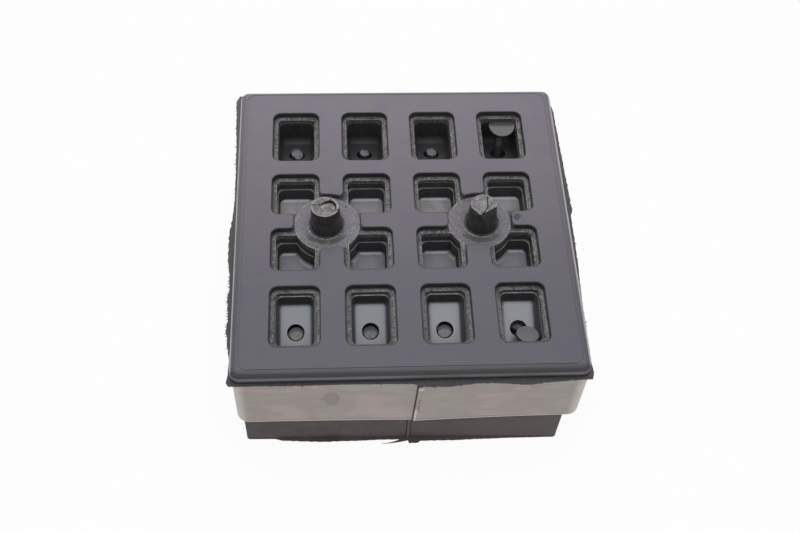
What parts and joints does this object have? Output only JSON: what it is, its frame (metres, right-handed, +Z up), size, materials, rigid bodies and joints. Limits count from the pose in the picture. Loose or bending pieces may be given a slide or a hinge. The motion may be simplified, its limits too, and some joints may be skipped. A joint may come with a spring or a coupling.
{
  "type": "rubber buffer",
  "caption": "Square bonded rubber buffer with a pocketed top over a perforated steel plate, two torn feed pegs, a folded steel band and a plain lower block.",
  "frame": {"origin": "middle of the flat base that the buffer stands on", "axes": "+Z up through the pocketed top, +X across the four columns of pockets, -Y towards the band's seam"},
  "size_m": [0.1215, 0.1253, 0.0598],
  "materials": {
    "moulded_rubber": "black moulded rubber, satin on the top skin and matt and brownish below the band, torn pale grey at the pegs and stubs",
    "primed_plate": "blasted steel under dark grey bonding primer, speckled with dust and crumbs of rubber",
    "band_steel": "bare rolled steel strip, light warm grey and evenly dull, with rubber smears beside the seam"
  },
  "bodies": {
    "root": {"rubber_body": "moulded_rubber", "perforated_plate": "primed_plate", "steel_band": "band_steel"}
  },
  "joints": []
}
